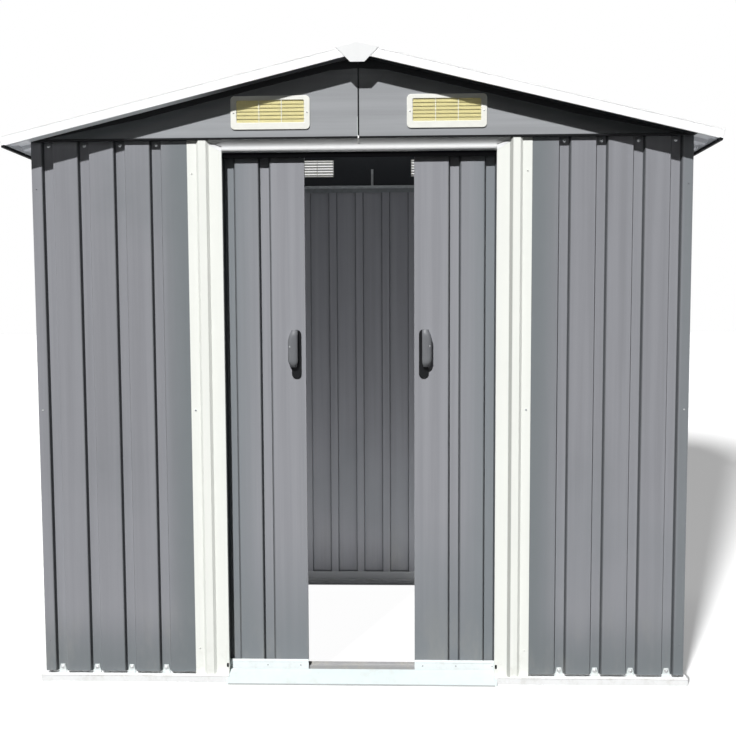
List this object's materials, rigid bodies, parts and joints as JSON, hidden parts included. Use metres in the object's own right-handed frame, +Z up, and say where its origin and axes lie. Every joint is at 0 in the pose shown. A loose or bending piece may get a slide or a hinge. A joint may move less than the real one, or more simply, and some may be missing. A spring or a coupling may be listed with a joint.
{
  "type": "metal storage shed",
  "caption": "Garden storage shed of ribbed grey steel sheet with a low gable roof, white trims, louvred gable vents and two sliding doors; no floor.",
  "frame": {"origin": "on the ground at the centre of the shed, bottom centre of its box", "axes": "+X to the right seen from the doors, +Y from the doors towards the back wall, +Z up"},
  "size_m": [2.0406, 1.3254, 1.8495],
  "materials": {
    "wall_sheet": "smooth coated steel sheet, satin",
    "door_sheet": "smooth coated steel sheet, satin",
    "roof_sheet": "smooth coated steel sheet, satin",
    "white_trim": "white coated steel, semi gloss",
    "base_rail": "white coated steel, semi gloss",
    "track_steel": "galvanised steel, dull",
    "vent_plastic": "moulded plastic, white frame and cream slats",
    "glide_plastic": "moulded black plastic",
    "handle_plastic": "moulded dark grey plastic"
  },
  "bodies": {
    "shed": {"base_rail_front": "base_rail", "base_rail_back": "base_rail", "base_rail_left": "base_rail", "base_rail_right": "base_rail", "door_bottom_track": "track_steel", "threshold_ramp": "base_rail", "front_wall_left": "wall_sheet", "front_wall_right": "wall_sheet", "left_wall": "wall_sheet", "right_wall": "wall_sheet", "back_wall": "wall_sheet", "door_jamb_left": "white_trim", "door_jamb_right": "white_trim", "door_header": "white_trim", "door_top_track": "track_steel", "top_channel_left": "track_steel", "top_channel_right": "track_steel", "top_channel_back": "track_steel", "gable_front_left": "wall_sheet", "gable_front_right": "wall_sheet", "gable_back_left": "wall_sheet", "gable_back_right": "wall_sheet", "vent_front_left": "vent_plastic", "vent_front_right": "vent_plastic", "vent_back_left": "vent_plastic", "vent_back_right": "vent_plastic", "roof_left": "roof_sheet", "roof_right": "roof_sheet", "ridge_beam": "track_steel", "ridge_cap": "white_trim", "ridge_end_caps": "white_trim", "fascia_front_left": "white_trim", "fascia_front_right": "white_trim", "fascia_back_left": "white_trim", "fascia_back_right": "white_trim", "eave_trim_left": "white_trim", "eave_trim_right": "white_trim"},
    "left_door": {"door_left_panel": "door_sheet", "door_left_rails": "white_trim", "door_left_glides": "glide_plastic", "door_left_handle": "handle_plastic"},
    "right_door": {"door_right_panel": "door_sheet", "door_right_rails": "white_trim", "door_right_glides": "glide_plastic", "door_right_handle": "handle_plastic"}
  },
  "joints": [
    {"name": "left_door_slide", "type": "slide", "parent": "shed", "child": "left_door", "axis": [-1, 0, 0], "range_m": [-0.1565, 0.175]},
    {"name": "right_door_slide", "type": "slide", "parent": "shed", "child": "right_door", "axis": [1, 0, 0], "range_m": [-0.1565, 0.175]}
  ]
}
